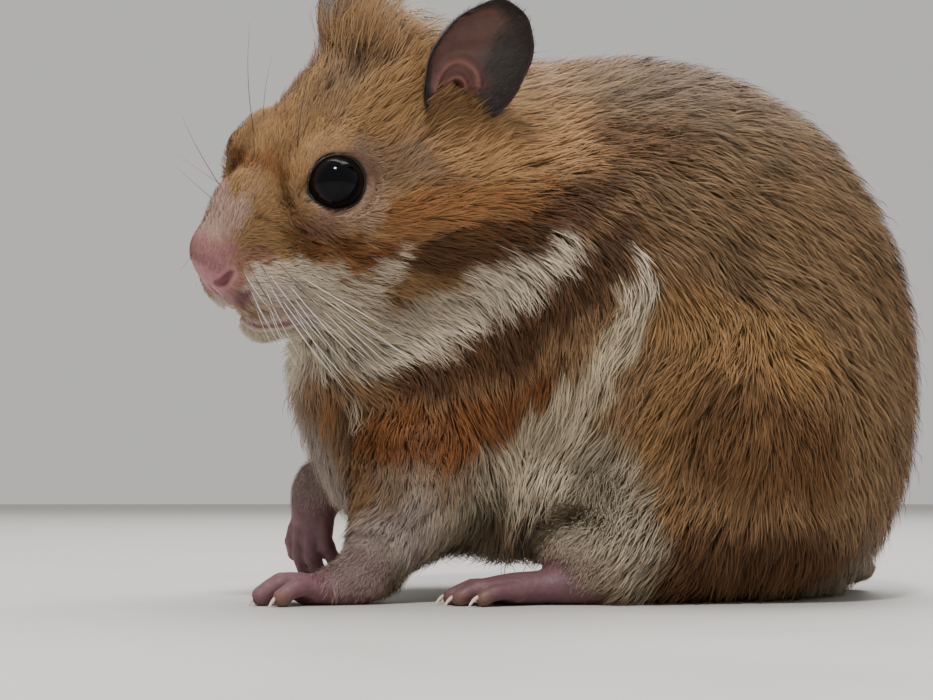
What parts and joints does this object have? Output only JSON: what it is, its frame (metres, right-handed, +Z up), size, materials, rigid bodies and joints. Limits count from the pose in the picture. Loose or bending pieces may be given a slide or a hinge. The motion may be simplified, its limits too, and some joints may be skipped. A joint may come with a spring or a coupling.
{
  "type": "syrian hamster",
  "caption": "Life-size still model of a Syrian hamster sitting hunched with its head turned to its left and one forepaw lifted, for display or for dressing a scene.",
  "frame": {"origin": "on the floor under the middle of the animal's bounding box", "axes": "+Z up, -X the way the trunk faces, -Y the animal's left side, towards which its head is turned"},
  "size_m": [0.0888, 0.0664, 0.0778],
  "materials": {
    "coat_gold": "dense soft fur, golden brown",
    "coat_cream": "dense soft fur, cream",
    "skin_pink": "bare pink skin with sparse short hair",
    "ear_slate": "thin dark grey-brown skin with fine pale hair",
    "eye_jet": "wet and glossy, near black"
  },
  "bodies": {
    "root": {"trunk": "coat_gold", "neck": "coat_gold", "foreleg_left": "coat_cream", "foreleg_right": "coat_cream", "hindleg_left": "coat_gold", "hindleg_right": "coat_gold", "head": "coat_gold", "eye_left": "eye_jet", "eye_right": "eye_jet", "ear_left": "ear_slate", "ear_right": "ear_slate", "forefoot_left": "skin_pink", "forefoot_right": "skin_pink", "hindfoot_left": "skin_pink", "hindfoot_right": "skin_pink", "tail": "skin_pink"}
  },
  "joints": []
}
